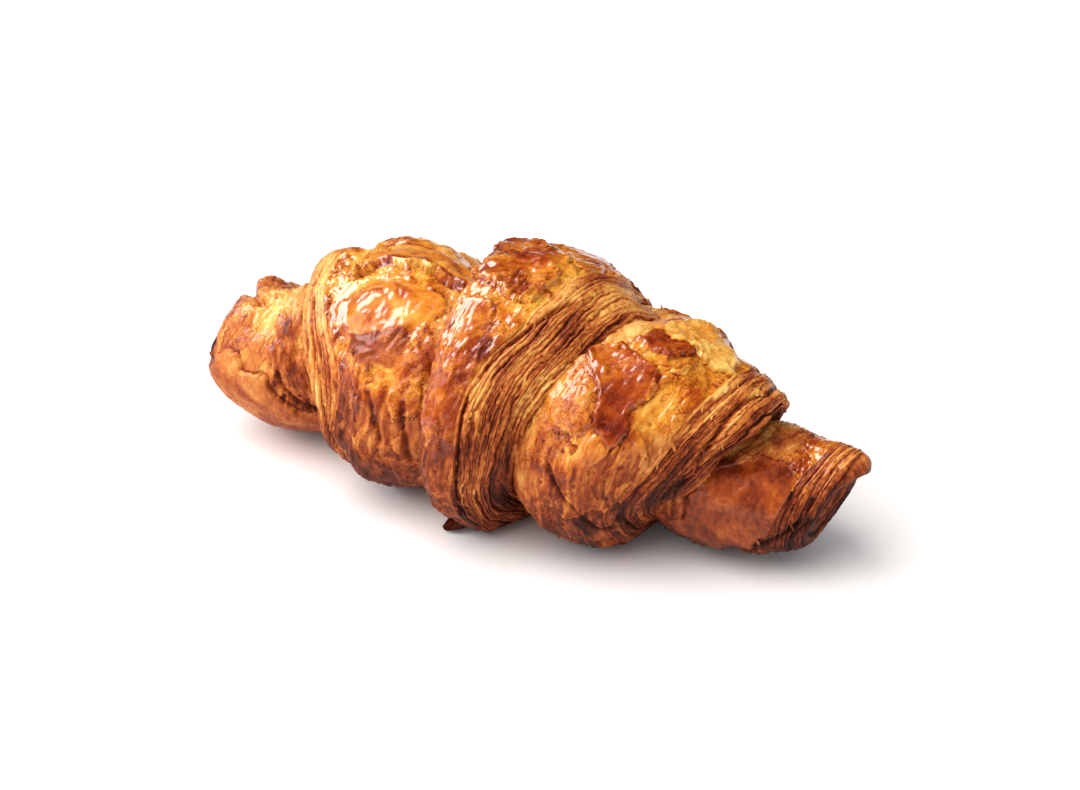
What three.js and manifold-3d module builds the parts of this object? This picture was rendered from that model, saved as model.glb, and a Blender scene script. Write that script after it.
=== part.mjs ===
// A baked croissant: one rolled, fused piece of laminated dough that lies on its flat underside.
//
// Frame, in millimetres: +X runs along the roll, +Y across it and +Z up. The origin is on the surface that
// the croissant rests on, under the middle of its box.
//
// A triangle of dough is rolled from its base to its point, so the turns that show step down from the middle
// to both ends. Each of them is a plump barrel round the roll, and reaches further along it over the top and the
// back than at the front, where the triangle narrows to its point. The barrels are joined into one solid, and
// the tray's flat surface trims them underneath.
import * as THREE from "three";
import { mergeVertices } from "three/addons/utils/BufferGeometryUtils.js";
import Module from "manifold-3d";

const wasm = await Module();
wasm.setup();

// Driving dimensions
const LENGTH = 160;
const WIDTH = 73;
const HEIGHT = 58.5;
const TIP_LIFT = 2.5; // the ends rise clear of the surface by this much

// How finely a barrel is made
const SIDES = 36;
const OUTLINE_STEPS = 22;

const CRUST = { color: 0xb8692f, roughness: 0.45, metalness: 0 };

// One turn of the roll is a barrel between a left line and a right line. Each line is a list of [angle, x], where
// the angle is in degrees round the roll, from 0 at the front over 90 at the top to 180 at the back, and x is a
// share of LENGTH. The outline holds [s, radius], where s runs from -1 at the left line over 0 at the crown, the
// thickest ring, to 1 at the right line. crown is a share of LENGTH, halfWidth of WIDTH and top of HEIGHT.
const TURNS = [
  {
    name: "left tip",
    crown: -0.381,
    halfWidth: 0.25,
    top: 0.6,
    bottom: TIP_LIFT,
    side: 4,
    left: [[0, -0.488], [60, -0.492], [125, -0.492], [180, -0.481], [240, -0.469], [300, -0.478]],
    right: [[0, -0.244]],
    outline: [[-0.7, 0], [-1, 0.42], [-0.9, 0.62], [-0.5, 0.92], [0, 1], [0.3, 0.97], [0.9, 0.6], [1, 0]],
  },
  {
    name: "left shoulder",
    crown: -0.169,
    halfWidth: 0.43,
    top: 0.84,
    bottom: -1.5,
    side: 1.5,
    left: [
      [5, -0.269], [35, -0.297], [60, -0.325], [90, -0.347],
      [125, -0.356], [180, -0.331], [235, -0.294], [290, -0.263],
    ],
    right: [[0, -0.0125]],
    outline: [
      [-0.6, 0], [-1, 0.4], [-1, 0.6], [-0.85, 0.83], [-0.45, 0.9],
      [0, 0.99], [0.5, 0.88], [0.8, 0.7], [1, 0],
    ],
  },
  {
    name: "centre",
    crown: -0.009,
    halfWidth: 0.5,
    top: 0.97,
    bottom: -4,
    side: 0,
    left: [
      [10, -0.066], [50, -0.066], [85, -0.081], [125, -0.1],
      [180, -0.097], [235, -0.072], [290, -0.053],
    ],
    right: [
      [18, 0.077], [62, 0.116], [88, 0.136], [125, 0.15],
      [180, 0.138], [235, 0.088], [290, 0.05], [336, 0.05],
    ],
    outline: [
      [-0.5, 0], [-0.98, 0.7], [-1, 0.82], [-0.7, 0.97], [0, 1],
      [0.45, 0.94], [0.95, 0.745], [1, 0.66], [0.5, 0],
    ],
  },
  {
    name: "right shoulder",
    crown: 0.156,
    halfWidth: 0.44,
    top: 0.815,
    bottom: -1.5,
    side: 1.5,
    left: [[0, 0.0125]],
    right: [
      [20, 0.316], [51, 0.35], [85, 0.372], [125, 0.369],
      [180, 0.325], [235, 0.288], [290, 0.25], [350, 0.281],
    ],
    outline: [
      [-1, 0], [-0.6, 0.9], [0, 1], [0.36, 0.91], [0.63, 0.72],
      [0.9, 0.56], [1, 0.47], [0.85, 0.18], [0.7, 0],
    ],
  },
  {
    name: "right tip",
    crown: 0.3625,
    halfWidth: 0.205,
    top: 0.49,
    bottom: TIP_LIFT,
    side: 3.5,
    left: [[0, 0.2]],
    right: [[0, 0.453], [60, 0.47], [100, 0.483], [180, 0.461], [240, 0.438], [300, 0.431]],
    outline: [
      [-1, 0], [-0.95, 0.7], [-0.7, 1.08], [-0.4, 1.08], [0.1, 1],
      [0.5, 0.92], [0.98, 0.7], [0.98, 0.5], [0.7, 0],
    ],
  },
];

// A closed three.js geometry as a solid that can be joined and cut.
function solidOf(geometry) {
  const bare = geometry.clone();
  bare.deleteAttribute("normal");
  bare.deleteAttribute("uv");
  const merged = mergeVertices(bare);
  return new wasm.Manifold(
    new wasm.Mesh({
      numProp: 3,
      vertProperties: merged.attributes.position.array,
      triVerts: new Uint32Array(merged.index.array),
    }),
  );
}

// A solid as a three.js geometry.
function geometryOf(solid) {
  const mesh = solid.getMesh();
  const geometry = new THREE.BufferGeometry()
    .setAttribute("position", new THREE.BufferAttribute(mesh.vertProperties, 3))
    .setIndex(new THREE.BufferAttribute(mesh.triVerts, 1));
  geometry.computeVertexNormals();
  return geometry;
}

// The place along X of a line round a turn at an angle in degrees. The line closes on itself.
function lineAt(line, angle) {
  const [firstAngle, firstX] = line[0];
  const [lastAngle, lastX] = line.at(-1);
  const closed = [[lastAngle - 360, lastX], ...line, [firstAngle + 360, firstX]];
  const after = closed.findIndex(([at]) => at > angle);
  const [fromAngle, fromX] = closed[after - 1];
  const [toAngle, toX] = closed[after];
  return THREE.MathUtils.lerp(fromX, toX, THREE.MathUtils.smoothstep(angle, fromAngle, toAngle)) * LENGTH;
}

// The mean place along X of a line, where its turn closes to a point.
function lineMiddle(line) {
  return (line.reduce((sum, [, x]) => sum + x, 0) / line.length) * LENGTH;
}

function turnGeometry(turn) {
  const halfHeight = (turn.top * HEIGHT - turn.bottom) / 2;
  const crown = turn.crown * LENGTH;
  const profile = new THREE.SplineCurve(turn.outline.map(([s, radius]) => new THREE.Vector2(radius, s)));
  const geometry = new THREE.LatheGeometry(profile.getPoints(OUTLINE_STEPS), SIDES);
  geometry.rotateZ(-Math.PI / 2);
  const point = new THREE.Vector3();
  const positions = geometry.attributes.position;
  for (let i = 0; i < positions.count; i++) {
    point.fromBufferAttribute(positions, i);
    const radius = Math.hypot(point.y, point.z);
    const angle = THREE.MathUtils.euclideanModulo(THREE.MathUtils.radToDeg(Math.atan2(point.z, -point.y)), 360);
    const line = point.x < 0 ? turn.left : turn.right;
    const reach = THREE.MathUtils.smoothstep(radius, 0, 0.6);
    const end = THREE.MathUtils.lerp(lineMiddle(line), lineAt(line, angle), reach);
    point.x = crown + Math.abs(point.x) * (end - crown);
    point.y = turn.side + point.y * turn.halfWidth * WIDTH;
    point.z = turn.bottom + halfHeight * (1 + point.z);
    positions.setXYZ(i, point.x, point.y, point.z);
  }
  return geometry;
}

// The turns joined and trimmed, then scaled by a few hundredths so that the box is exactly the driving dimensions.
function croissantGeometry() {
  const roll = TURNS.map((turn) => solidOf(turnGeometry(turn))).reduce((joined, turn) => joined.add(turn));
  const tray = new THREE.BoxGeometry(2 * LENGTH, 2 * WIDTH, HEIGHT).translate(0, 0, -HEIGHT / 2);
  const geometry = geometryOf(roll.subtract(solidOf(tray)));
  geometry.computeBoundingBox();
  const size = geometry.boundingBox.getSize(new THREE.Vector3());
  const middle = geometry.boundingBox.getCenter(new THREE.Vector3());
  geometry.translate(-middle.x, -middle.y, 0);
  return geometry.scale(LENGTH / size.x, WIDTH / size.y, HEIGHT / size.z);
}

const croissant = new THREE.Mesh(croissantGeometry(), new THREE.MeshStandardMaterial(CRUST));
croissant.name = "croissant";

const part = new THREE.Group();
part.add(croissant);
export default part;
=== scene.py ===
"""A baked croissant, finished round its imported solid.

Each turn of the rolled dough that shows is a closed skin of its own, tucked under the turn that covers it.
Detail moves the skin in and out, and says how far each point is baked and how much egg wash it got. Loose
flakes are scattered over it. Sizes are in millimetres until a mesh is made. +X runs along the roll, -Y faces
the front and +Z is up.
"""

import itertools
import math
from dataclasses import dataclass, field
from types import SimpleNamespace

import bpy
import numpy as np
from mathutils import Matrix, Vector


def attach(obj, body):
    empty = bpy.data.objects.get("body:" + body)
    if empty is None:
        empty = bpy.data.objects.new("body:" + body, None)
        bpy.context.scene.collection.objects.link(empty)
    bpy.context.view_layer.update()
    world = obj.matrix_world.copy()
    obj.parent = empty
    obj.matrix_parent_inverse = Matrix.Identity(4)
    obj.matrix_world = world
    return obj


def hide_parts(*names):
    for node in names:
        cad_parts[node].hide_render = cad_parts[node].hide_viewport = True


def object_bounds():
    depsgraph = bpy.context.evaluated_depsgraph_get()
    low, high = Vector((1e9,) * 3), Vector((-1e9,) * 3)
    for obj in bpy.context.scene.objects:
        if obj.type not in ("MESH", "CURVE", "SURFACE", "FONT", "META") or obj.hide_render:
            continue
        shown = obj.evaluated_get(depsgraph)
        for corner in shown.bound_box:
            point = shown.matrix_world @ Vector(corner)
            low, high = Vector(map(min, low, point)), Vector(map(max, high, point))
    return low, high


MM = 0.001
FULL_CIRCLE = 2 * math.pi

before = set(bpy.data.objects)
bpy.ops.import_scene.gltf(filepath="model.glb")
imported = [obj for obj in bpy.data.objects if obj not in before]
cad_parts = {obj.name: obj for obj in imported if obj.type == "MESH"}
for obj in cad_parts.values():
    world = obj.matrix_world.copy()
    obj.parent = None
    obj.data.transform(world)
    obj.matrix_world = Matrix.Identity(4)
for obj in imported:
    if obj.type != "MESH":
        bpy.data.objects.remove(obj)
CAD_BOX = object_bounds()
WIDTH, HEIGHT = ((CAD_BOX[1] - CAD_BOX[0]) / MM)[1:]

# ---------------------------------------------------------------- camera, light and floor

VIEW_AZIMUTH = math.radians(27)
VIEW_ELEVATION = math.radians(30)
VIEW_DISTANCE = 1000 * MM
VIEW_TARGET = Vector((2.5, 0, 26.0)) * MM
LENS = 151


def direction(azimuth, elevation):
    """The unit vector towards a camera or lamp. Azimuth 0 is the front, and a quarter turn the right."""
    flat = math.cos(elevation)
    return Vector((math.sin(azimuth) * flat, -math.cos(azimuth) * flat, math.sin(elevation)))


def make_camera():
    camera = bpy.data.objects.new("camera", bpy.data.cameras.new("camera"))
    bpy.context.scene.collection.objects.link(camera)
    back = direction(VIEW_AZIMUTH, VIEW_ELEVATION)
    camera.data.lens = LENS
    camera.data.clip_start = 0.05
    camera.location = VIEW_TARGET + back * VIEW_DISTANCE
    camera.rotation_euler = (-back).to_track_quat("-Z", "Y").to_euler()
    bpy.context.scene.camera = camera


def softbox(name, azimuth, elevation, distance, size, power, colour="#ffffff"):
    """A square softbox that faces the croissant: angles in degrees, lengths in metres, power in watts."""
    lamp = bpy.data.objects.new(name, bpy.data.lights.new(name, "AREA"))
    bpy.context.scene.collection.objects.link(lamp)
    way = direction(math.radians(azimuth), math.radians(elevation))
    lamp.location = VIEW_TARGET + way * distance
    lamp.rotation_euler = (-way).to_track_quat("-Z", "Y").to_euler()
    lamp.data.shape = "SQUARE"
    lamp.data.size = size
    lamp.data.energy = power
    lamp.data.color = linear(colour)[:3]
    return lamp


def make_studio():
    """The overhead softbox gives the light and the soft shadow, the window softbox only the highlights."""
    overhead = softbox(
        "overhead_softbox", azimuth=319, elevation=61, distance=0.9, size=1.2, power=13.6, colour="#fff8f5"
    )
    window = softbox(
        "window_softbox", azimuth=260, elevation=48, distance=0.9, size=0.6, power=15, colour="#fff2f0"
    )
    overhead.visible_glossy = False
    window.visible_diffuse = False
    softbox("fill_softbox", azimuth=-60, elevation=30, distance=1.1, size=0.8, power=3.5)
    world = bpy.data.worlds.new("studio_air")
    world.use_nodes = True
    sky = world.node_tree.nodes["Background"]
    sky.inputs["Color"].default_value = linear("#ffffff")
    sky.inputs["Strength"].default_value = 0.6
    world.cycles_visibility.glossy = False
    bpy.context.scene.world = world
    bpy.context.scene.view_settings.view_transform = "Standard"

    bpy.ops.mesh.primitive_plane_add(size=4)
    table = bpy.context.object
    table.name = "table"
    paper = bpy.data.materials.new("white_seamless_paper")  # an even, matt white that takes the soft shadow
    paper.use_nodes = True
    shader = paper.node_tree.nodes["Principled BSDF"]
    shader.inputs["Base Color"].default_value = linear("#f6f5f5")
    shader.inputs["Roughness"].default_value = 0.8
    table.data.materials.append(paper)


# ---------------------------------------------------------------- colours and shader nodes


def linear(colour):
    """A hex sRGB colour as linear RGBA."""
    parts = [int(colour[i : i + 2], 16) / 255 for i in (1, 3, 5)]
    return (*[p / 12.92 if p <= 0.04045 else ((p + 0.055) / 1.055) ** 2.4 for p in parts], 1.0)


def add(tree, kind, settings=None, **inputs):
    """A new node with its settings. Each input is a value or an output to link, given by its name with _ for
    a space, or by its number after a _."""
    node = tree.nodes.new(kind)
    for name, value in (settings or {}).items():
        setattr(node, name, value)
    for name, value in inputs.items():
        socket = node.inputs[int(name[1:])] if name[0] == "_" else node.inputs[name.replace("_", " ")]
        if isinstance(value, bpy.types.NodeSocket):
            tree.links.new(value, socket)
        else:
            socket.default_value = value
    return node


# ---------------------------------------------------------------- noise


class Noise:
    """Seeded noise in three dimensions, with one cell to a unit."""

    def __init__(self, seed):
        rng = np.random.default_rng(seed)
        order = rng.permutation(256)
        self.order = np.concatenate([order, order])
        slopes = rng.normal(size=(256, 3))
        self.slopes = slopes / np.linalg.norm(slopes, axis=1, keepdims=True)
        self.dots = rng.random((256, 3))

    def _hash(self, cell):
        x, y, z = (cell[..., k] & 255 for k in range(3))
        return self.order[self.order[self.order[x] + y] + z]

    def smooth(self, points):
        """Gradient noise from about -1 to 1."""
        cell = np.floor(points).astype(np.int64)
        local = points - cell
        fade = local**3 * (local * (local * 6 - 15) + 10)
        total = np.zeros(points.shape[:-1])
        for corner in itertools.product((0, 1), repeat=3):
            slope = self.slopes[self._hash(cell + corner)]
            weight = np.prod(np.where(corner, fade, 1 - fade), axis=-1)
            total += weight * np.sum(slope * (local - corner), axis=-1)
        return total * 1.6

    def rough(self, points, octaves=3):
        """Smooth noise with finer noise on it."""
        total, size = 0, 1
        for octave in range(octaves):
            total = total + size * self.smooth(points * 2**octave + 7.3 * octave)
            size /= 2
        return total / (2 - 2 * size)

    def creased(self, points, octaves=3):
        """From 0 to 1, with sharp ridges at 1."""
        total, size = 0, 1
        for octave in range(octaves):
            total = total + size * (1 - np.abs(self.smooth(points * 2**octave + 3.1 * octave))) ** 2
            size /= 2
        return total / (2 - 2 * size)

    def bubbles(self, points):
        """The distance to the nearest of one scattered dot per cell."""
        cell = np.floor(points).astype(np.int64)
        nearest = np.full(points.shape[:-1], 9.0)
        for step in itertools.product((-1, 0, 1), repeat=3):
            dot = cell + step + self.dots[self._hash(cell + step)]
            nearest = np.minimum(nearest, np.linalg.norm(points - dot, axis=-1))
        return nearest


def rise(value, low, high):
    """0 below low, 1 above high, smooth between. Low may be above high, for a fall."""
    t = np.clip((value - low) / (high - low), 0, 1)
    return t * t * (3 - 2 * t)


# ---------------------------------------------------------------- the turns of the roll

# Round the roll, 0 degrees is the front, 90 the top, 180 the back and 270 the bottom. A place on a turn is
# (x, angle), with x in mm. A line round a turn is a list of (angle, x), and it closes on itself.
WIDEST = 125  # every turn reaches furthest along the roll over the back of its top


@dataclass
class CutEdge:
    """Where the cut edge of the dough shows its leaves, from the line skin_ends to the turn's edge on that
    side. leaves is how many there are, depth how deep they part, and bake how dark they are, from 0 to 1."""

    side: str
    skin_ends: list
    leaves: int
    depth: float = 1.0
    bake: float = 0.53


@dataclass
class Patch:
    """A torn piece of crust inside an outline of places, with its lift in mm. bake is how dark it is, wash
    how glossy and wrinkled how crumpled, from 0 to 1."""

    outline: list
    bake: float
    wash: float = 1.0
    lift: float = 0.7
    wrinkled: float = 0.3


@dataclass
class Fold:
    """A ridge along a path of places, or a groove where its rise is negative, in mm. bake makes it darker."""

    path: list
    width: float
    rise: float
    bake: float = 0.0


@dataclass
class Lump:
    """A bulge, or a dent where its rise is negative. length is half its size along the roll in mm, and spread
    half its size round it in degrees."""

    x: float
    angle: float
    length: float
    spread: float
    rise: float
    bake: float = 0.0


@dataclass
class Turn:
    """One turn of dough between its left and right line, in mm. outline holds (s, radius) points: s runs from
    -1 at the left line over 0 at the crown to 1 at the right line, and radius 1 is half_width to the side and
    half of top - bottom up and down. side is how far back its middle lies. covered is the side on which a
    wider turn lies over it, bake how much darker than the others it is, wash how much egg wash it got, and
    end_shows whether its end is seen to the middle."""

    name: str
    crown: float
    half_width: float
    top: float
    bottom: float
    side: float
    left: list
    right: list
    outline: list
    covered: str = ""
    bake: float = 0.0
    wash: float = 1.0
    end_shows: bool = False
    cut_edges: list = field(default_factory=list)
    patches: list = field(default_factory=list)
    folds: list = field(default_factory=list)
    lumps: list = field(default_factory=list)


LEFT_TIP = Turn(
    name="left_tip",
    crown=-61,
    half_width=0.25 * WIDTH,
    top=0.6 * HEIGHT,
    bottom=2.5,
    side=4,
    left=[(0, -78), (60, -78), (WIDEST, -78), (180, -77), (240, -75), (300, -76.5)],
    right=[(0, -38), (90, -40), (180, -40), (270, -38)],
    outline=[
        (-0.7, 0), (-0.95, 0.25), (-1, 0.42), (-0.9, 0.62), (-0.72, 0.8), (-0.5, 0.92), (-0.25, 0.99),
        (0, 1), (0.3, 0.97), (0.6, 0.85), (0.9, 0.6), (1, 0),
    ],
    covered="right",
    wash=0.4,
    end_shows=True,
    patches=[
        Patch(
            [
                (-78, 8), (-75.5, 6), (-71, 21), (-68, 20), (-65, 12), (-61, 13), (-57, 355), (-48, 343),
                (-44, 325), (-44, 285), (-70, 280), (-80, 300), (-81, 340),
            ],
            bake=0.5, wash=0.25, lift=0.9, wrinkled=0.05,
        ),
    ],
    folds=[
        Fold([(-77, 130), (-75.5, 105), (-72.5, 85), (-68, 72)], width=1, rise=-1.8, bake=0.06),
        Fold([(-79, 30), (-77, 16), (-75, 3)], width=0.9, rise=0.2, bake=0.3),
        Fold([(-57, 16), (-55.5, 4), (-52, 352), (-47, 343)], width=0.45, rise=-0.96, bake=0.3),
    ],
    lumps=[
        Lump(-72.5, 118, 4.5, 26, 2.0),
        Lump(-65, 116, 6.5, 45, -3.6),
        Lump(-77, 62, 5, 30, 0.3),
        Lump(-73, 350, 8, 40, 1.2),
        Lump(-64, 60, 7, 34, -1.0, bake=-0.42),
    ],
)
LEFT_SHOULDER = Turn(
    name="left_shoulder",
    crown=-27,
    half_width=0.43 * WIDTH,
    top=0.84 * HEIGHT,
    bottom=-1.5,
    side=1.5,
    left=[
        (350, -41.5), (5, -43), (35, -47.5), (60, -52), (90, -55.5), (WIDEST, -57), (180, -53),
        (235, -47), (290, -42),
    ],
    right=[(0, -2), (90, -2), (180, -2), (270, -2)],
    outline=[
        (-0.6, 0), (-0.94, 0.22), (-1, 0.4), (-1.01, 0.6), (-0.97, 0.74), (-0.85, 0.83), (-0.64, 0.87),
        (-0.45, 0.9), (-0.25, 0.97), (0, 0.99), (0.25, 0.95), (0.5, 0.88), (0.8, 0.7), (1, 0),
    ],
    covered="right",
    cut_edges=[
        CutEdge(
            "left",
            [
                (346, -35.7), (23, -34.5), (50, -41.5), (75, -48), (WIDEST, -50), (180, -45), (235, -39),
                (290, -36),
            ],
            leaves=10, depth=0.7, bake=0.42,
        ),
    ],
    patches=[
        Patch(
            [
                (-42.5, 82), (-43, 100), (-43, 125), (-40, 150), (-25, 150), (-17, 125), (-14, 100),
                (-17, 88), (-28, 93), (-37, 88),
            ],
            bake=0.36, wash=0.8, lift=1.9, wrinkled=0.35,
        ),
        Patch(
            [
                (-44, 70), (-40, 79), (-30, 82), (-20, 80), (-17, 70), (-22, 58), (-25, 45), (-30, 38),
                (-35, 44), (-40, 52),
            ],
            bake=0.4, wash=1, lift=0.6, wrinkled=0.05,
        ),
        Patch(
            [(-36, 48), (-29, 53), (-22, 53), (-18, 46), (-22, 36), (-29, 33), (-35, 38)],
            bake=0.66, wash=0.25, lift=0.25, wrinkled=0.5,
        ),
        Patch(
            [(-20, 50), (-16, 45), (-14, 30), (-15, 15), (-19, 12), (-21, 25), (-22, 40)],
            bake=0.55, wash=0.7, lift=0.6, wrinkled=0.6,
        ),
        Patch(
            [(-46, 170), (-35, 190), (-20, 185), (-14, 165), (-22, 150), (-36, 145)],
            bake=0.5, wash=0.6, lift=0.6, wrinkled=0.3,
        ),
    ],
    folds=[
        Fold([(-49, 65), (-45, 45), (-40, 22), (-38, 355), (-36, 335)], width=0.45, rise=-0.8, bake=0.21),
        Fold([(-44, 88), (-42, 84), (-37, 90), (-28, 95), (-17, 90)], width=0.7, rise=-0.2, bake=0.38),
        Fold([(-40, 104), (-33, 110), (-24, 111), (-17, 104)], width=0.5, rise=-0.5, bake=0.3),
        Fold([(-26, 22), (-24, 10), (-22, 356)], width=0.52, rise=-0.96, bake=0.3),
        Fold([(-18, 20), (-17, 5), (-16, 345)], width=0.59, rise=-1, bake=0.27),
    ],
    lumps=[
        Lump(-33, 65, 9, 16, 1.2),
        Lump(-24, 345, 9, 30, 1.0),
        Lump(-23, 132, 8, 32, -4.4),
        Lump(-36, 116, 7, 20, 1.6),
        Lump(-49, 120, 5, 24, -1.5),
    ],
)
CENTRE = Turn(
    name="centre",
    crown=-1.5,
    half_width=0.5 * WIDTH,
    top=HEIGHT - 1.8,
    bottom=-4,
    side=0,
    left=[
        (346, -9.5), (10, -10.5), (34, -10.5), (50, -10.5), (67, -11.5), (85, -13), (105, -14.5),
        (WIDEST, -16), (180, -15.5), (235, -11.5), (290, -8.5),
    ],
    right=[
        (336, 8), (356, 10.1), (18, 12.3), (40, 15.6), (62, 18.6), (88, 21.8), (105, 23), (WIDEST, 24),
        (180, 22), (235, 14), (290, 8),
    ],
    outline=[
        (-0.5, 0), (-0.85, 0.45), (-0.98, 0.7), (-1, 0.82), (-0.9, 0.92), (-0.7, 0.97), (-0.4, 1.0),
        (0, 1.0), (0.25, 0.985), (0.45, 0.94), (0.62, 0.89), (0.8, 0.815), (0.95, 0.745), (1, 0.66),
        (0.95, 0.5), (0.75, 0.3), (0.5, 0),
    ],
    cut_edges=[
        CutEdge(
            "right",
            [
                (340, -1.5), (357, 0), (15, 0.2), (32, 0.2), (50, 2.7), (68, 6.5), (106, 9.7),
                (WIDEST, 12), (180, 10), (235, 5), (290, 0),
            ],
            leaves=17,
        ),
        CutEdge(
            "left",
            [
                (346, -8.5), (34, -9.3), (67, -10), (85, -11.5), (105, -13), (WIDEST, -14.5), (180, -14),
                (235, -10.5), (290, -7.5),
            ],
            leaves=2, depth=0.7,
        ),
    ],
    patches=[
        Patch(
            [
                (-9.5, 22), (-10, 45), (-9, 62), (-7, 72), (-2.5, 68), (0.5, 55), (-0.5, 40), (-2.5, 25),
                (-4, 10), (-7, 5),
            ],
            bake=0.58, wash=1, lift=0.7, wrinkled=0.3,
        ),
        Patch(
            [
                (-0.5, 60), (2, 54), (1.2, 36), (0.8, 20), (-0.5, 4), (-4, 358), (-5.5, 8), (-4.5, 20),
                (-2.5, 34), (-1.5, 48),
            ],
            bake=0.72, wash=0.6, lift=0.15, wrinkled=0.3,
        ),
        Patch(
            [
                (-10, 80), (-14, 95), (-17, 115), (-12, 128), (-4, 120), (4, 108), (7, 90), (5, 76),
                (0, 72), (-6, 76),
            ],
            bake=0.63, wash=1, lift=0.9, wrinkled=0.6,
        ),
        Patch(
            [(-4, 122), (0, 135), (10, 130), (12, 112), (9, 98), (5, 108)],
            bake=0.5, wash=0.9, lift=0.5, wrinkled=0.2,
        ),
        Patch(
            [(-14, 150), (-6, 165), (6, 170), (8, 150), (0, 140), (-10, 138)],
            bake=0.54, wash=0.6, lift=0.5, wrinkled=0.4,
        ),
    ],
    folds=[
        Fold([(-0.5, 330), (0.8, 0), (1, 30), (4, 48), (8, 64), (12, 85)], width=0.39, rise=-1, bake=0.3),
    ],
    lumps=[
        Lump(-14, 112, 6, 14, 0.6),
        Lump(-5, 345, 5, 30, 0.8),
        Lump(18, 136, 7, 28, -2.2),
    ],
)
RIGHT_SHOULDER = Turn(
    name="right_shoulder",
    crown=25,
    half_width=0.44 * WIDTH,
    top=0.815 * HEIGHT,
    bottom=-1.5,
    side=1.5,
    left=[(0, 2), (90, 2), (180, 2), (270, 2)],
    right=[
        (330, 40), (350, 45), (20, 50.5), (51, 56), (65, 58.5), (85, 59.5), (107, 59.5), (WIDEST, 59),
        (180, 52), (235, 46), (290, 40),
    ],
    outline=[
        (-1, 0), (-0.8, 0.7), (-0.6, 0.9), (-0.4, 0.965), (-0.2, 0.99), (0, 0.99), (0.2, 0.965),
        (0.36, 0.91), (0.5, 0.82), (0.63, 0.72), (0.78, 0.64), (0.9, 0.56), (1, 0.47), (0.98, 0.35),
        (0.85, 0.18), (0.7, 0),
    ],
    covered="left",
    cut_edges=[
        CutEdge(
            "right",
            [
                (339, 31.2), (10, 37.6), (40, 42.4), (65, 45.3), (82, 46.7), (99, 47.3), (WIDEST, 47),
                (180, 42), (235, 36), (290, 30.5),
            ],
            leaves=14, depth=0.85, bake=0.56,
        ),
    ],
    patches=[
        Patch(
            [
                (17, 28), (14, 42), (14, 54), (15.5, 64), (20, 69), (25, 62), (27, 50), (29, 41),
                (28, 33), (24, 28),
            ],
            bake=0.46, wash=0.7, lift=0.9, wrinkled=0.35,
        ),
        Patch(
            [
                (18, 74), (25, 80), (31, 75), (37, 69), (36, 58), (34.5, 48), (34, 38), (32.5, 22),
                (29, 34), (26.5, 44), (25, 54), (21, 64),
            ],
            bake=0.72, wash=1, lift=1.0, wrinkled=0.15,
        ),
        Patch(
            [(26, 84), (27, 97), (33, 101), (39, 92), (36, 81), (30, 79)],
            bake=0.72, wash=1, lift=0.8, wrinkled=0.35,
        ),
        Patch(
            [(31, 92), (38, 94), (43, 90), (46, 96), (46, 112), (40, 125), (32, 118), (28, 104)],
            bake=0.2, wash=0.8, lift=0.6, wrinkled=0.45,
        ),
        Patch(
            [(18, 150), (24, 165), (36, 165), (40, 148), (30, 135), (20, 138)],
            bake=0.5, wash=0.6, lift=0.6, wrinkled=0.3,
        ),
    ],
    folds=[
        Fold(
            [(33, 335), (39.5, 8), (44, 35), (47.5, 62), (49.5, 85), (50, 110), (48, 140)],
            width=0.52, rise=-0.8, bake=0.21,
        ),
        Fold(
            [(41, 345), (48, 20), (50.5, 50), (52.5, 78), (55, 106), (52, 150)],
            width=0.59, rise=-1.3, bake=0.3,
        ),
        Fold([(18, 15), (22, 0), (27, 345), (31, 330)], width=0.39, rise=-0.96, bake=0.3),
        Fold([(24, 22), (24.5, 5), (23.5, 345)], width=0.9, rise=0.7, bake=-0.12),
    ],
    lumps=[
        Lump(24, 45, 8, 18, 1.5),
        Lump(36, 15, 7, 22, -1.2),
        Lump(22, 116, 8, 30, -2.2),
        Lump(41, 136, 7, 28, -3.2),
    ],
)
RIGHT_TIP = Turn(
    name="right_tip",
    crown=58,
    half_width=0.205 * WIDTH,
    top=0.49 * HEIGHT,
    bottom=2.5,
    side=3.5,
    left=[(0, 30), (90, 34), (180, 34), (270, 30)],
    right=[(0, 72), (60, 74.5), (100, 76), (WIDEST, 76), (180, 73), (240, 69.5), (300, 68.5)],
    outline=[
        (-1, 0), (-0.95, 0.7), (-0.7, 1.08), (-0.4, 1.08), (-0.15, 1.02), (0.1, 1.0), (0.3, 0.97),
        (0.5, 0.92), (0.7, 0.86), (0.87, 0.79), (0.98, 0.71), (0.99, 0.58), (0.92, 0.42), (0.82, 0.25),
        (0.74, 0.1), (0.7, 0),
    ],
    covered="left",
    bake=0.16,
    end_shows=True,
    cut_edges=[
        CutEdge(
            "right",
            [(0, 64), (60, 68), (100, 70), (WIDEST, 70), (180, 66), (240, 62), (300, 61)],
            leaves=7, depth=0.8,
        ),
    ],
    patches=[
        Patch(
            [
                (40, 340), (46, 12), (50, 42), (59, 60), (64, 58), (69, 42), (71.5, 28), (69, 5),
                (65, 350), (60, 335), (55, 318), (44, 308), (40, 325),
            ],
            bake=0.7, wash=0.5, lift=0.8, wrinkled=0.03,
        ),
    ],
    folds=[
        Fold([(71.5, 34), (70.5, 8), (66.5, 348), (61, 332)], width=0.59, rise=-1.1, bake=0.25),
        Fold([(75, 60), (74, 30), (72, 5), (67, 340)], width=0.52, rise=-0.8, bake=0.2),
    ],
    lumps=[
        Lump(60, 20, 10, 40, 1.0),
        Lump(76, 106, 12, 50, 2.6),
    ],
)
TURNS = [LEFT_TIP, LEFT_SHOULDER, CENTRE, RIGHT_SHOULDER, RIGHT_TIP]
COVERING = {
    "left_tip": LEFT_SHOULDER,
    "left_shoulder": CENTRE,
    "right_shoulder": CENTRE,
    "right_tip": RIGHT_SHOULDER,
}

# ---------------------------------------------------------------- the smooth skin of a turn

SIDES = 400
STEPS = 240
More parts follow.
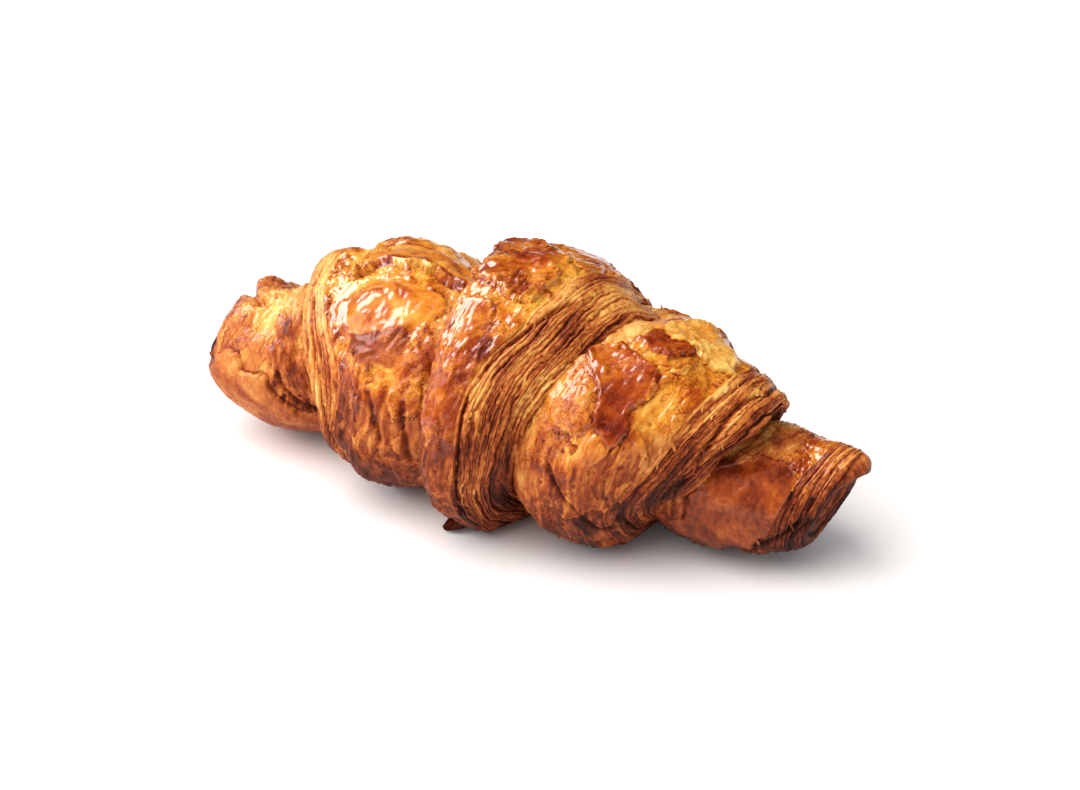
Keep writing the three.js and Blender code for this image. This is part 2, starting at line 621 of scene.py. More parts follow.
# How close together the rings of points are, beside those on plain skin that shows
TUCKED_SHARE = 0.12
LIP_SHARE = 0.8
LEAVES_SHARE = 2.0
LINE_SAMPLES = 12
OUTLINE_SAMPLES = 40
END_FADE = 6  # rings past a turn's edge over which its patches and folds fade out
ROUND = 28  # mm of skin to a radian round a shoulder, near enough for the size of patches and folds
SHOULDER_HALF_WIDTH = 0.44 * WIDTH
NO_COVER = 99.0  # mm past the turn that covers this one, where none does


def smooth_line(points, samples):
    """A Catmull-Rom curve through the points."""
    points = np.array(points, float)
    p = np.array([2 * points[0] - points[1], *points, 2 * points[-1] - points[-2]])
    t = np.linspace(0, 1, samples, endpoint=False)[:, None]
    spans = [
        0.5 * (2 * b + (c - a) * t + (2 * a - 5 * b + 4 * c - d) * t**2 + (3 * b - a - 3 * c + d) * t**3)
        for a, b, c, d in zip(p, p[1:], p[2:], p[3:])
    ]
    return np.vstack([*spans, p[-2:-1]])


def line_round(points, angles):
    """The x of a line round a turn at each angle in degrees."""
    once = sorted((angle % 360, x) for angle, x in points)
    thrice = [(angle + shift, x) for shift in (-360, 0, 360) for angle, x in once]
    line = smooth_line(thrice, LINE_SAMPLES)
    return np.interp(angles % 360, line[:, 0], line[:, 1])


def surface_normals(rings):
    along = np.gradient(rings, axis=0)
    around = np.roll(rings, -1, axis=1) - np.roll(rings, 1, axis=1)
    normal = np.cross(along, around)
    return normal / np.maximum(np.linalg.norm(normal, axis=2, keepdims=True), 1e-9)


class Skin:
    """The smooth surface of a turn as rings of points, with what its detail is worked out from. Over a turn's
    ends x stays that of the edge, past_edge is how far in from the edge a ring is in mm, and outside fades to
    0. near_pole is 1 in the middle of an end."""

    def __init__(self, turn):
        self.turn = turn
        self.angle = np.arange(SIDES) * 360 / SIDES
        self.left, self.right = (line_round(line, self.angle) for line in (turn.left, turn.right))
        s, radius = self.outline_points()
        fade = rise(radius, 0.05, 0.6)[:, None]
        ends = [edge.mean() * (1 - fade) + edge * fade for edge in (self.left, self.right)]
        reach = np.where(s[:, None] < 0, turn.crown - ends[0], ends[1] - turn.crown)
        turned = np.radians(self.angle)
        half_height = (turn.top - turn.bottom) / 2
        self.rings = np.stack(
            [
                turn.crown + s[:, None] * reach,
                turn.side - turn.half_width * radius[:, None] * np.cos(turned),
                turn.bottom + half_height * (1 + radius[:, None] * np.sin(turned)),
            ],
            axis=-1,
        )
        self.normals = surface_normals(self.rings)
        first, last = int(np.argmin(s)), int(np.argmax(s))
        steps = np.arange(STEPS)[:, None]
        self.outside = rise(steps, first - END_FADE, first) * rise(steps, last + END_FADE, last)
        self.x = self.rings[np.clip(steps, first, last), np.arange(SIDES), 0]
        self.past_edge = np.zeros((STEPS, 1))
        for edge, past in ((first, steps < first), (last, steps > last)):
            from_edge = np.linalg.norm(self.rings - self.rings[edge], axis=2).mean(axis=1, keepdims=True)
            self.past_edge += np.where(past, from_edge, 0)
        self.near_pole = rise(radius, 0.35, 0)[:, None]

    def outline_points(self):
        """s and radius at STEPS places, close together where the turn shows, and closest on its cut edges."""
        turn = self.turn
        line = smooth_line(turn.outline, OUTLINE_SAMPLES)
        reach = np.where(line[:, 0] < 0, turn.crown - self.left.min(), self.right.max() - turn.crown)
        in_mm = line * np.stack([reach, np.full(len(line), turn.half_width)], axis=1)
        lengths = np.linalg.norm(np.diff(in_mm, axis=0), axis=1)
        first, last = int(np.argmin(line[:, 0])), int(np.argmax(line[:, 0]))
        lip = 0 if turn.end_shows else 0.75 * line[last, 1]
        weight = np.where(line[:, 1] > lip, LIP_SHARE, TUCKED_SHARE)
        weight[first : last + 1] = 1
        if turn.covered == "left":
            weight[line[:, 0] < -0.75] = TUCKED_SHARE
        if turn.covered == "right":
            weight[line[:, 0] > 0.75] = TUCKED_SHARE
        for cut in turn.cut_edges:
            ends = line_round(cut.skin_ends, self.angle)
            edge = self.left if cut.side == "left" else self.right
            share = np.min((ends - turn.crown) / (edge - turn.crown))
            s = -line[:, 0] if cut.side == "left" else line[:, 0]
            weight[(s > share) & (weight == 1)] = LEAVES_SHARE
        density = np.concatenate([[0], np.cumsum(lengths * (weight[1:] + weight[:-1]) / 2)])
        at = np.linspace(0, density[-1], STEPS)
        return [np.interp(at, density, line[:, k]) for k in range(2)]

    def turned_from(self, angle):
        """Degrees from an angle, -180 to 180."""
        return (self.angle - angle + 180) % 360 - 180

    def near(self, lump):
        """1 in the middle of a lump, 0 at its edge and past it."""
        away = np.hypot((self.x - lump.x) / lump.length, self.turned_from(lump.angle) / lump.spread)
        return rise(away, 1, 0) * self.outside

    def flat_places(self, places):
        """The skin's points and the places, in mm on a flat sheet that is cut open away from the places."""
        angles = np.array([angle for _, angle in places], float)
        turned = np.radians(angles)
        middle = math.degrees(math.atan2(np.sin(turned).mean(), np.cos(turned).mean()))
        mm = math.radians(1) * ROUND * self.turn.half_width / SHOULDER_HALF_WIDTH
        turned = (angles - middle + 180) % 360 - 180
        corners = np.stack([[x for x, _ in places], turned * mm], axis=-1)
        points = np.stack(np.broadcast_arrays(self.x, self.turned_from(middle) * mm), axis=-1)
        return points, corners

    def from_path(self, places):
        """mm from a path of places."""
        points, corners = self.flat_places(places)
        return np.sqrt(np.min([from_segment(points, a, b) for a, b in zip(corners, corners[1:])], axis=0))

    def inside(self, places):
        """mm inwards from a closed outline of places, negative outside it."""
        points, corners = self.flat_places(places)
        crossings = np.zeros(points.shape[:2], bool)
        nearest = np.full(points.shape[:2], np.inf)
        for a, b in zip(corners, np.roll(corners, -1, axis=0)):
            nearest = np.minimum(nearest, from_segment(points, a, b))
            spans = (a[1] > points[..., 1]) != (b[1] > points[..., 1])
            slope = (b[0] - a[0]) / (b[1] - a[1] if b[1] != a[1] else 1e-9)
            crossings ^= spans & (points[..., 0] < a[0] + slope * (points[..., 1] - a[1]))
        return np.sqrt(nearest) * np.where(crossings, 1, -1)

    def past_cover(self):
        """How far each point is past the edge of the turn that covers this one, in mm along x."""
        turn = self.turn
        if not turn.covered:
            return np.full(self.x.shape, NO_COVER)
        cover = COVERING[turn.name]
        if turn.covered == "left":
            return self.x - line_round(cover.right, self.angle)
        return line_round(cover.left, self.angle) - self.x


def from_segment(points, a, b):
    """The square of the distance from each point to the stretch from a to b."""
    way = b - a
    t = np.clip((points - a) @ way / (way @ way), 0, 1)
    return np.sum((points - a - t[..., None] * way) ** 2, axis=-1)


def on_the_table(rings, softness=1.5):
    """Flattens what would be below the table, with a rounded edge."""
    z = rings[..., 2]
    rings[..., 2] = 0.5 * (z + np.sqrt(z**2 + softness**2)) - 0.05
    return rings


def closed_mesh(name, rings, shades):
    """A mesh of the rings, the first and last drawn in to poles. shades holds attributes of its points."""

    def flat(values):
        width = values.shape[2:]
        ends = [values[k].mean(axis=0).reshape(1, *width) for k in (0, -1)]
        return np.concatenate([ends[0], values[1:-1].reshape(-1, *width), ends[1]])

    steps, sides = rings.shape[:2]
    points = flat(rings)
    grid = 1 + np.arange((steps - 2) * sides).reshape(steps - 2, sides)
    beside = np.roll(grid, -1, axis=1)
    quads = np.stack([grid[:-1], grid[1:], beside[1:], beside[:-1]], axis=-1).reshape(-1, 4)
    last = len(points) - 1
    left_fan = [(0, a, b) for a, b in zip(grid[0].tolist(), beside[0].tolist())]
    right_fan = [(last, b, a) for a, b in zip(grid[-1].tolist(), beside[-1].tolist())]
    mesh = bpy.data.meshes.new(name)
    mesh.from_pydata((points * MM).tolist(), [], quads.tolist() + left_fan + right_fan)
    mesh.polygons.foreach_set("use_smooth", np.ones(len(mesh.polygons), bool))
    for shade, values in shades.items():
        kind, field_name = ("FLOAT", "value") if values.ndim == 2 else ("FLOAT_VECTOR", "vector")
        attribute = mesh.attributes.new(shade, kind, "POINT")
        attribute.data.foreach_set(field_name, flat(values).astype(np.float32).ravel())
    piece = bpy.data.objects.new(name, mesh)
    bpy.context.scene.collection.objects.link(piece)
    return piece


# ---------------------------------------------------------------- detail

# Noise is taken at places in mm divided by the size of its cells. Most cells are longer in Y and Z, round the
# roll, because the dough was stretched that way when it was rolled up.
LEAVES_A_BUNDLE = 4
SPIRAL_LEAVES = 3  # leaves that each turn of the roll adds
lump_noise, leaf_noise, skin_noise, bake_noise, tear_noise = (Noise(seed) for seed in (11, 23, 37, 41, 53))


def warp_of(rings):
    """A slow wander, to bend what would be too regular."""
    return 0.5 * lump_noise.smooth(rings / 9)[..., None]


def cut_edges(skin):
    """The leaves of the cut edges at each point: their height in mm, the share that is cut edge, how dark
    they are, and the gap, 1 at the bottom between two leaves."""
    height, share, dark, gap = (np.zeros(skin.rings.shape[:2]) for _ in range(4))
    y, z = skin.rings[..., 1], skin.rings[..., 2]
    for cut in skin.turn.cut_edges:
        # u is 0 where the skin ends and 1 at the turn's edge, and runs on over its end
        first = line_round(cut.skin_ends, skin.angle)
        last = skin.left if cut.side == "left" else skin.right
        width = np.abs(last - first).mean()
        u = (skin.x - first) / (last - first) + skin.past_edge / width
        places = np.stack([first.mean() + u * (last - first).mean(), y, z], axis=-1)

        # leaves that wander and are not all as wide, each with noise of its own along it
        wander = 0.07 * lump_noise.smooth(places / (6, 14, 14)) + 0.025 * leaf_noise.smooth(places / 4)
        wander += 0.01 * leaf_noise.smooth(places / 1.1)
        uneven = 0.035 * np.sin(FULL_CIRCLE * 2.3 * u + 1) + 0.02 * np.sin(FULL_CIRCLE * 5.1 * u)
        inside = rise(u + 0.6 * wander, -0.01, 0.04)
        leaves_in = (u + wander + uneven) * cut.leaves + SPIRAL_LEAVES * ((skin.angle + 90) % 360) / 360
        index = np.floor(leaves_in)
        leaf = 1 - np.abs(2 * (leaves_in - index) - 1) ** 3
        around = np.stack([index * 3.7, y / 11, z / 11], axis=-1)
        stands_out = 0.5 + 0.6 * leaf_noise.rough(around, 3)
        crumbly = 0.3 * leaf_noise.rough(places / (0.6, 1.0, 1.0), 2)
        height += inside * cut.depth * (0.6 * leaf * (0.35 + 1.1 * stands_out) + 0.8 * crumbly - 0.3)

        # here and there the leaves have parted into bundles
        bundle = np.abs(2 * ((u + 1.6 * wander) * cut.leaves / LEAVES_A_BUNDLE % 1) - 1)
        opens = rise(leaf_noise.smooth(around / (40, 1.5, 1.5)), -0.3, 0.1)
        parted = inside * rise(bundle, 0.8, 1) * opens
        height -= 0.9 * cut.depth * parted
        gap = np.maximum(gap, np.maximum(inside * (1 - leaf) ** 1.5, parted))

        hairs = leaf_noise.rough(places / (0.5, 5, 5) + 2 * warp_of(places), 2)
        uneven_bake = 0.28 * leaf_noise.rough(around * (1, 0.6, 0.6) + 5, 2) - 0.7 * crumbly + 0.18 * hairs
        uneven_bake += 0.3 * bake_noise.smooth(places / (3.5, 16, 16))
        dark += inside * (cut.bake + uneven_bake)
        share = np.maximum(share, inside)
    return SimpleNamespace(height=height, share=share, dark=dark, gap=gap)


def torn_patches(skin):
    """The torn patches at each point: their height in mm, the share that is patch, bake, wash, how wrinkled,
    and rim and shadow, 1 on an edge that curls up and right beside it."""
    height, share, bake, wash, wrinkled, rim, shadow = (np.zeros(skin.rings.shape[:2]) for _ in range(7))
    ragged = 2.8 * tear_noise.rough(skin.rings / 8, 3) + 0.7 * tear_noise.rough(skin.rings / 1.8, 2)
    loose = rise(lump_noise.smooth(skin.rings / 9 + 2), -0.35, 0.15)
    for patch in skin.turn.patches:
        # a later patch lies over what is there, and its edge is free in some places and melts away in others
        inwards = skin.inside(patch.outline) + ragged
        cover = rise(inwards, -0.1, 0.2) * skin.outside
        free = np.maximum(loose, rise(patch.lift, 0.85, 1))
        raised = rise(inwards, -0.1, 0.3 + 0.3 * patch.lift + 3 * (1 - free)) * skin.outside
        curl = np.exp(-(((inwards - 0.5) / 0.5) ** 2)) * cover * free
        worn = rise(inwards, 9, 1)
        height = height * (1 - 0.55 * cover) + raised * patch.lift * (0.35 + 0.65 * worn)
        height += 0.35 * patch.lift * curl
        bake = bake * (1 - cover) + cover * patch.bake
        wash = wash * (1 - cover) + cover * patch.wash
        wrinkled = wrinkled * (1 - cover) + cover * patch.wrinkled
        rim = np.maximum(rim * (1 - cover), curl)
        beneath = np.exp(-(((inwards + 0.25) / 0.3) ** 2)) * min(patch.lift, 1) * free
        shadow = np.maximum(shadow * (1 - cover), beneath)
        share = np.maximum(share, cover)
    return SimpleNamespace(
        height=height, share=share, bake=bake, wash=wash, wrinkled=wrinkled, rim=rim, shadow=shadow
    )


def folds_and_lumps(skin):
    """The height in mm and the change of bake of the folds and lumps at each point."""
    height, bake = np.zeros(skin.rings.shape[:2]), np.zeros(skin.rings.shape[:2])
    wander = 0.5 * tear_noise.rough(skin.rings / 4 + 9, 2)
    for fold in skin.turn.folds:
        beside = np.exp(-(((skin.from_path(fold.path) + wander) / fold.width) ** 2)) * skin.outside
        height += fold.rise * beside
        bake += fold.bake * beside
    for lump in skin.turn.lumps:
        near = skin.near(lump)
        height += lump.rise * near
        bake += lump.bake * near
    return SimpleNamespace(height=height, bake=bake)


def flaky_layers(skin, warp):
    """The crust's thin layers, which end in ragged steps like the lines of a contour map: their height in mm,
    their bake, and a painted shadow line along each step."""
    rings = skin.rings
    depth = 3.6 * skin_noise.rough(rings / (6.5, 11, 11) + warp, 3) + 0.4 * tear_noise.rough(rings / 1.7, 2)
    layer = np.floor(depth)
    past_step = depth - layer
    height = 0.3 * (layer + rise(past_step, 0, 0.14) - 1)
    # a painted shadow line under each step's edge, and a fainter one just past it
    step_shadow = np.exp(-(((1 - past_step) / 0.07) ** 2)) + 0.5 * np.exp(-((past_step / 0.05) ** 2))
    pale_edge = np.exp(-(((past_step - 0.15) / 0.1) ** 2))
    bake = 0.22 * bake_noise.smooth(rings / 14 + layer[..., None] * 5.3) - 0.1 * pale_edge
    return SimpleNamespace(height=height, bake=bake, step_shadow=step_shadow)


def skin_marks(skin, warp):
    """The noises that mark plain skin at each point, and how far in mm it is past the turn that covers it."""
    rings = skin.rings
    past_cover = skin.past_cover()
    strand_places = np.stack([past_cover / 0.8, rings[..., 1] / 13, rings[..., 2] / 13], axis=-1)
    down_the_sides = rise(skin.normals[..., 2], 0.6, 0.1)
    blistered = rise(lump_noise.smooth(rings / 15 + 4), 0.1, 0.4)
    pitted = rise(lump_noise.smooth(rings / 12 + 8), 0.3, 0.5)
    crumple = 0.5 - np.abs(skin_noise.smooth(rings / 3.6 + 40))
    crumple -= 0.6 * np.abs(tear_noise.smooth(rings / 2.1 + 50))
    return SimpleNamespace(
        past_cover=past_cover,
        strands=skin_noise.rough(strand_places, 2),
        flow=skin_noise.rough(rings / (2.2, 9, 9) + 3 * warp + 20, 3),
        streaks=skin_noise.rough(rings / (0.9, 7, 7) + 2 * warp + 60, 2) * down_the_sides,
        pillows=np.abs(skin_noise.rough(rings / (8, 10, 10) + 3, 2)),
        wrinkles=skin_noise.creased(rings / (4, 7, 7) + warp, 3),
        fine_wrinkles=tear_noise.creased(rings / (1.7, 3.6, 3.6) + 3 * warp, 2),
        wrinkly=rise(lump_noise.smooth(rings / 6 + 30), -0.25, 0.2),
        blisters=rise(skin_noise.bubbles(rings / 3.4), 0.3, 0.1) * blistered,
        pits=rise(tear_noise.bubbles(rings / 4.2), 0.14, 0.06) * pitted,
        crumple=crumple,
        patchy=bake_noise.rough(rings / 9 + warp, 3),
    )


def build_turn(turn):
    """A turn as a finished mesh. Its attributes bake, wash and crinkled colour it, and bake also holds
    painted shade down the sides, beside curled patch edges, along the flaky layers' steps and between leaves.
    loose says where flakes come away, and outward which way they face."""
    skin = Skin(turn)
    rings = skin.rings
    warp = warp_of(rings)
    leaves = cut_edges(skin)
    torn = torn_patches(skin)
    folds = folds_and_lumps(skin)
    layers = flaky_layers(skin, warp)
    marks = skin_marks(skin, warp)
    skin_share = 1 - leaves.share
    stretched = rise(marks.past_cover, 9, 1.5) * skin_share * (1 - torn.share)
    bare_skin = skin_share * (1 - 0.75 * torn.share)
    flaky = bare_skin * (1 - 0.6 * stretched)

    height = 1.6 * lump_noise.rough(rings / 20, 2) + leaves.height + folds.height + skin_share * torn.height
    grain = 1.2 * marks.pillows + 0.4 * (marks.wrinkles - 0.5) + (0.1 + 0.3 * stretched) * marks.strands
    height += bare_skin * (grain + 0.35 * marks.flow + 0.2 * marks.streaks)
    spots = 0.3 * marks.blisters * (1 - torn.share) - 0.5 * marks.pits - 0.3 * torn.shadow
    height += flaky * layers.height + skin_share * spots
    height += skin_share * (0.25 * (1 - torn.share) + 0.1 * torn.share + torn.wrinkled) * marks.crumple
    wrinkle_height = 0.05 + (0.15 + 1.3 * torn.wrinkled) * marks.wrinkly
    height += skin_share * wrinkle_height * (marks.fine_wrinkles - 0.55)
    height *= 1 - skin.near_pole
    finished = on_the_table(rings + skin.normals * height[..., None])

    # the sides are darker than the top as painted shade, and the egg wash was brushed on from above
    upward = np.clip(skin.normals[..., 2], -1, 1)
    patchy = marks.patchy
    bake = 0.64 + turn.bake - 0.2 * upward + 0.2 * (1 + 0.7 * upward) * patchy + 0.25 * (marks.pillows - 0.25)
    bake += 0.15 * marks.strands - 0.1 * stretched + 0.16 * marks.flow + 0.24 * marks.streaks
    # the flaky layers get a painted shadow line along each step
    bake += 0.14 * (0.5 - marks.wrinkles) + layers.bake + 0.17 * layers.step_shadow * flaky + 0.35 * marks.pits
    bake = bake * (1 - 0.8 * torn.share) + 0.8 * torn.share * (torn.bake + 0.4 * patchy)
    wrinkle_bake = 0.1 + 0.6 * torn.wrinkled * marks.wrinkly
    # painted shadow: darker right beside a curled-up patch edge
    bake += 0.25 * torn.shadow - 0.08 * torn.rim + wrinkle_bake * (0.55 - marks.fine_wrinkles)
    # the leaves' own bake, with painted shade down in the gaps between them and down the sides
    leaf_bake_and_shade = leaves.dark + turn.bake + 0.34 * leaves.gap - 0.22 * upward
    bake = bake * skin_share + leaves.share * leaf_bake_and_shade + folds.bake
    wash = turn.wash * rise(upward + 0.5 * patchy, 0.1, 0.7) * (1 - 0.75 * stretched)
    torn_wash = torn.wash * (0.3 + 0.7 * rise(upward, -0.1, 0.5))
    wash = wash * (1 - torn.share) + torn.share * torn_wash
    wash = wash * (1 - 0.8 * leaves.share)

    loose = np.maximum(0.9 * torn.rim + 0.5 * torn.shadow, 0.55 * leaves.share * (1 - leaves.gap))
    loose += 0.12 * flaky * layers.step_shadow
    loose *= skin.outside * rise(rings[..., 2], 4, 9) * rise(np.abs(skin.normals[..., 0]), 0.85, 0.6)
    brushed = rise(upward + 0.5 * patchy, 0.1, 0.6) * (1 - torn.share)
    brushed += torn.share * (0.15 + 2 * torn.wrinkled)
    crinkled = skin_share * (0.3 + 0.7 * marks.wrinkly) * np.minimum(brushed, 1)
    shades = {"bake": bake, "wash": wash, "loose": loose, "crinkled": crinkled, "outward": skin.normals}
    return closed_mesh(turn.name, finished, shades)


def build_tucked_point():
    """The point of the triangle that was rolled up: a thin burnt flap under the front of the centre turn."""
    # across runs from side to side of the flap, and out from under the turn to the flap's tip
    across, out = np.meshgrid(np.linspace(-1, 1, 60), np.linspace(0, 1, 40), indexing="ij")
    ragged = 0.8 * tear_noise.rough(np.stack([6 * across, 0 * across, 3 * out], axis=-1), 3)
    narrows = 1 - 0.75 * out**1.3
    x = -3.5 + 7 * across * narrows - 4.5 * out**2 + 0.4 * ragged
    y = -14 - (9.5 + 1.5 * ragged) * out
    waves = 0.5 * lump_noise.smooth(np.stack([x, y, y], axis=-1) / 3)
    z = 1.1 + 2.6 * (1 - out) + 1.2 * (across + 0.3) ** 2 * out + waves
    top = np.stack([x, y, z], axis=-1)
    thickness = 0.9 * (1 - 0.6 * out) * (1 - across**4)
    bottom = top - np.stack([0 * x, 0 * x, thickness + 0.12], axis=-1)
    rings = np.concatenate([top, bottom[:, ::-1]], axis=1)
    dark = np.concatenate([out, out[:, ::-1]], axis=1)
    rings[..., 2] = np.maximum(rings[..., 2], 0.05)
    burnt = 0.72 + 0.15 * dark + 0.1 * skin_noise.rough(rings / 2, 2)
    return closed_mesh("tucked_point", rings, {"bake": burnt, "wash": 0.3 * (1 - dark)})


# ---------------------------------------------------------------- material and flakes

GRAIN_SIZE = 0.91 * MM
GRAIN_SHARE = 0.2
BLOTCH_SIZE = 3.57 * MM
BLOTCH_SHARE = 0.28
CRINKLE_SIZE = 3.85 * MM
CRINKLE_LINES = 13.0  # contour lines that the crinkle noise is cut into
LEAST_BAKED_TO_MOST = (0.0, 0.2, 0.4, 0.58, 0.76, 1.0)
BARE_CRUST = ("#eebf70", "#daa052", "#bd6d33", "#93431e", "#642810", "#341006")
WASHED_CRUST = ("#f8c763", "#e9a53c", "#cf7a1e", "#a3420b", "#6e1e06", "#340a02")

FLAKE_SPACING = 0.9 * MM
FLAKE_WIDTH = 0.7 * MM
FLAKE_THICKNESS = 0.08 * MM
FLAKE_SEED = 5
FLAKES_A_SQUARE_METRE = 4e5
FLAKE_CURL = 250.0  # a flake lifts by this times the square of the distance from its middle, in metres
FLAKE_GRAIN = 0.67 * MM
FLAKE_RAGGED = (0.9 * MM, 0.9 * MM, -0.2 * MM)

ADD = {"operation": "ADD"}
SUBTRACT = {"operation": "SUBTRACT"}
MULTIPLY = {"operation": "MULTIPLY"}
MULTIPLY_ADD = {"operation": "MULTIPLY_ADD"}
NUMBER = {"data_type": "FLOAT"}
VECTOR = {"data_type": "FLOAT_VECTOR"}


def egg_washed_crust():
    """Baked laminated dough: dull and pale gold to red-brown where it is bare, a glossy amber where egg wash
    was brushed on."""
    material = bpy.data.materials.new("egg_washed_crust")
    material.use_nodes = True
    tree = material.node_tree
    shader = tree.nodes["Principled BSDF"]
    bake = add(tree, "ShaderNodeAttribute", {"attribute_name": "bake"}).outputs["Fac"]
    wash = add(tree, "ShaderNodeAttribute", {"attribute_name": "wash"}).outputs["Fac"]
    crinkled = add(tree, "ShaderNodeAttribute", {"attribute_name": "crinkled"}).outputs["Fac"]
    place = add(tree, "ShaderNodeTexCoord").outputs["Object"]

    grain = add(tree, "ShaderNodeTexNoise", Vector=place, Scale=1 / GRAIN_SIZE, Detail=3.0)
    blotch = add(tree, "ShaderNodeTexNoise", Vector=place, Scale=1 / BLOTCH_SIZE, Detail=4.0, Distortion=1.5)
    grain = grain.outputs["Fac"]
    blotch = blotch.outputs["Fac"]
    mixed = add(tree, "ShaderNodeMath", MULTIPLY_ADD, _0=grain, _1=GRAIN_SHARE, _2=bake).outputs[0]
    mixed = add(tree, "ShaderNodeMath", MULTIPLY_ADD, _0=blotch, _1=BLOTCH_SHARE, _2=mixed).outputs[0]

    # fine dark lines where the skin is crinkled
    crinkle = add(tree, "ShaderNodeTexNoise", Vector=place, Scale=1 / CRINKLE_SIZE, Detail=4.0, Roughness=0.6)
    contour = add(tree, "ShaderNodeMath", MULTIPLY, _0=crinkle.outputs["Fac"], _1=CRINKLE_LINES).outputs[0]
    contour = add(tree, "ShaderNodeMath", {"operation": "PINGPONG"}, _0=contour, _1=0.5).outputs[0]
    lines = add(tree, "ShaderNodeMapRange", Value=contour, From_Max=0.2, To_Min=0.22, To_Max=-0.08)
    lines = add(tree, "ShaderNodeMath", MULTIPLY, _0=lines.outputs["Result"], _1=crinkled).outputs[0]
    ridges = add(tree, "ShaderNodeMath", MULTIPLY_ADD, _0=contour, _1=crinkled, _2=mixed).outputs[0]

    # the noises are 0.5 on average, which is taken off again
    level = add(tree, "ShaderNodeMath", SUBTRACT, _0=mixed, _1=(GRAIN_SHARE + BLOTCH_SHARE) / 2).outputs[0]
    level = add(tree, "ShaderNodeMath", ADD, _0=level, _1=lines).outputs[0]
    colour = add(tree, "ShaderNodeMix", {"data_type": "RGBA"}, _0=wash)
    for socket, colours in ((6, BARE_CRUST), (7, WASHED_CRUST)):
        ramp = add(tree, "ShaderNodeValToRGB", Fac=level)
        for _ in LEAST_BAKED_TO_MOST[2:]:
            ramp.color_ramp.elements.new(0.5)
        for element, stop, shade in zip(ramp.color_ramp.elements, LEAST_BAKED_TO_MOST, colours):
            element.position = stop
            element.color = linear(shade)
        tree.links.new(ramp.outputs["Color"], colour.inputs[socket])
    tree.links.new(colour.outputs[2], shader.inputs["Base Color"])
    roughness = add(tree, "ShaderNodeMapRange", Value=wash, To_Min=0.58, To_Max=0.3)
    tree.links.new(roughness.outputs["Result"], shader.inputs["Roughness"])
    tree.links.new(wash, shader.inputs["Coat Weight"])
    shader.inputs["Coat Roughness"].default_value = 0.13
    shader.inputs["Specular IOR Level"].default_value = 0.15
    bump = add(tree, "ShaderNodeBump", Height=ridges, Strength=0.5, Distance=0.5 * MM)
    tree.links.new(bump.outputs["Normal"], shader.inputs["Normal"])
    return material


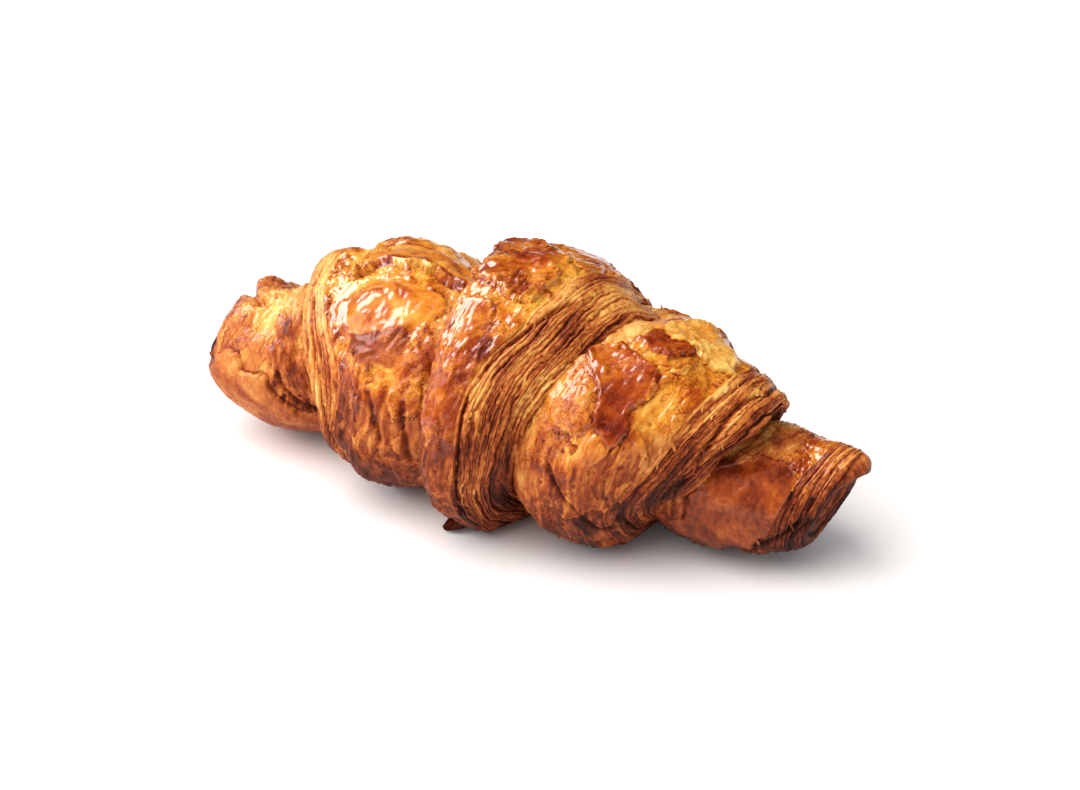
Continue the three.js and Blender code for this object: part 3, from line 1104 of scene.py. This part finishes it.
def flake_nodes(material):
    """A node tree that scatters small curled flakes over a mesh, most where its attribute "loose" is high."""
    tree = bpy.data.node_groups.new("scatter_flakes", "GeometryNodeTree")
    tree.interface.new_socket("Geometry", in_out="INPUT", socket_type="NodeSocketGeometry")
    for name, kind in (("Spacing", "Float"), ("Width", "Float"), ("Thickness", "Float"), ("Seed", "Int")):
        tree.interface.new_socket(name, in_out="INPUT", socket_type="NodeSocket" + kind)
    tree.interface.new_socket("Geometry", in_out="OUTPUT", socket_type="NodeSocketGeometry")
    given = add(tree, "NodeGroupInput").outputs
    loose = add(tree, "GeometryNodeInputNamedAttribute", NUMBER, Name="loose").outputs["Attribute"]
    outward = add(tree, "GeometryNodeInputNamedAttribute", VECTOR, Name="outward").outputs["Attribute"]
    bake = add(tree, "GeometryNodeInputNamedAttribute", NUMBER, Name="bake").outputs["Attribute"]

    # one flake: a thin disc with a ragged edge that curls up along X
    disc = add(
        tree,
        "GeometryNodeMeshCylinder",
        {"fill_type": "TRIANGLE_FAN"},
        Vertices=9,
        Radius=given["Width"],
        Depth=given["Thickness"],
    )
    place = add(tree, "GeometryNodeInputPosition").outputs[0]
    x = add(tree, "ShaderNodeSeparateXYZ", Vector=place).outputs["X"]
    curl = add(tree, "ShaderNodeMath", MULTIPLY, _0=x, _1=x).outputs[0]
    curl = add(tree, "ShaderNodeMath", MULTIPLY, _0=curl, _1=FLAKE_CURL).outputs[0]
    lift = add(tree, "ShaderNodeCombineXYZ", Z=curl).outputs[0]
    noise = add(tree, "ShaderNodeTexNoise", Vector=place, Scale=1 / FLAKE_GRAIN).outputs["Color"]
    moved = add(tree, "ShaderNodeVectorMath", MULTIPLY_ADD, _0=noise, _1=FLAKE_RAGGED, _2=lift).outputs[0]
    flake = add(tree, "GeometryNodeSetPosition", Geometry=disc.outputs["Mesh"], Offset=moved).outputs[0]

    # flakes lie nearly flat on the crust, most of them as slivers that run round the roll
    spots = add(
        tree,
        "GeometryNodeDistributePointsOnFaces",
        {"distribute_method": "POISSON"},
        Mesh=given["Geometry"],
        Distance_Min=given["Spacing"],
        Density_Max=FLAKES_A_SQUARE_METRE,
        Density_Factor=loose,
        Seed=given["Seed"],
    )
    turn = add(tree, "FunctionNodeRandomValue", VECTOR, _0=(-0.1, -0.1, -0.5), _1=(0.1, 0.1, 0.5)).outputs[0]
    size = add(tree, "FunctionNodeRandomValue", VECTOR, _0=(0.6, 0.2, 0.6), _1=(2.2, 0.7, 1.2)).outputs[0]
    z_to_y = {"primary_axis": "Z", "secondary_axis": "Y"}
    flat = add(tree, "FunctionNodeAxesToRotation", z_to_y, _0=outward, _1=(1, 0, 0)).outputs[0]
    local = {"rotation_space": "LOCAL"}
    rotation = add(tree, "FunctionNodeRotateRotation", local, Rotation=flat, Rotate_By=turn).outputs[0]
    flakes = add(
        tree,
        "GeometryNodeInstanceOnPoints",
        Points=spots.outputs["Points"],
        Instance=flake,
        Rotation=rotation,
        Scale=size,
    ).outputs[0]

    # each is baked much like the crust beneath it
    change = add(tree, "FunctionNodeRandomValue", NUMBER, Min=-0.08, Max=0.16).outputs["Value"]
    bake = add(tree, "ShaderNodeMath", ADD, _0=bake, _1=change).outputs[0]
    on_flakes = {"data_type": "FLOAT", "domain": "INSTANCE"}
    flakes = add(tree, "GeometryNodeStoreNamedAttribute", on_flakes, Geometry=flakes, Name="bake", Value=bake)
    solid = add(tree, "GeometryNodeRealizeInstances", Geometry=flakes.outputs[0]).outputs[0]
    finish = add(tree, "GeometryNodeSetMaterial", Geometry=solid, Material=material).outputs[0]
    tree.links.new(finish, add(tree, "NodeGroupOutput").inputs[0])
    return tree


def build_flakes(tree, crust):
    """The loose flakes on one turn, as a mesh of their own."""
    scatter = crust.modifiers.new("flakes", "NODES")
    scatter.node_group = tree
    sockets = {item.name: item.identifier for item in tree.interface.items_tree if item.in_out == "INPUT"}
    scatter[sockets["Spacing"]] = FLAKE_SPACING
    scatter[sockets["Width"]] = FLAKE_WIDTH
    scatter[sockets["Thickness"]] = FLAKE_THICKNESS
    scatter[sockets["Seed"]] = FLAKE_SEED
    mesh = bpy.data.meshes.new_from_object(crust.evaluated_get(bpy.context.evaluated_depsgraph_get()))
    crust.modifiers.remove(scatter)
    mesh.name = crust.name + "_flakes"
    flakes = bpy.data.objects.new(mesh.name, mesh)
    bpy.context.scene.collection.objects.link(flakes)
    return flakes


def finish_piece(piece, material):
    """Gives a piece its material and its place in the frame."""
    if not piece.data.materials:
        piece.data.materials.append(material)
    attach(piece, "root")
    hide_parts("croissant")


make_camera()
make_studio()
crust_material = egg_washed_crust()
flake_tree = flake_nodes(crust_material)
for turn in TURNS:
    crust = build_turn(turn)
    flakes = build_flakes(flake_tree, crust)
    finish_piece(crust, crust_material)
    finish_piece(flakes, crust_material)
finish_piece(build_tucked_point(), crust_material)
